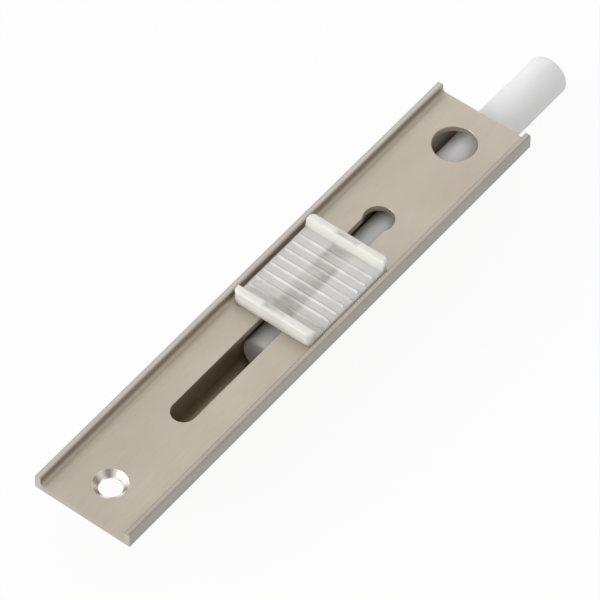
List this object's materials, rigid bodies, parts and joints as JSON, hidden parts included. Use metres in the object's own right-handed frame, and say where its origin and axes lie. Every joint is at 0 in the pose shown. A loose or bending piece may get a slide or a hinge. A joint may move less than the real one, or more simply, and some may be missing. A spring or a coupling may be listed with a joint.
{
  "type": "flush door bolt",
  "caption": "Flush door bolt: lipped aluminium face plate with a keyhole slot, clear thumb slide and a round frosted plastic bolt in a rear guide channel.",
  "frame": {"origin": "axis of the near fixing hole, on the back of the face plate", "axes": "+X along the plate towards the bolt's tip, +Y across the plate, +Z out of its face"},
  "size_m": [0.1298, 0.0204, 0.0155],
  "materials": {
    "anodised_plate": "satin champagne anodised",
    "anodised_channel": "satin champagne anodised",
    "frosted_rod": "frosted natural plastic",
    "clear_slide": "clear moulded plastic",
    "spring_steel": "bright spring steel"
  },
  "bodies": {
    "case": {"face_plate": "anodised_plate", "guide_channel": "anodised_channel"},
    "bolt": {"bolt_rod": "frosted_rod", "thumb_slide": "clear_slide", "friction_spring": "spring_steel"}
  },
  "joints": [
    {"name": "bolt_slide", "type": "slide", "parent": "case", "child": "bolt", "axis": [1, 0, 0], "range_m": [-0.0336, 0.0184]}
  ]
}
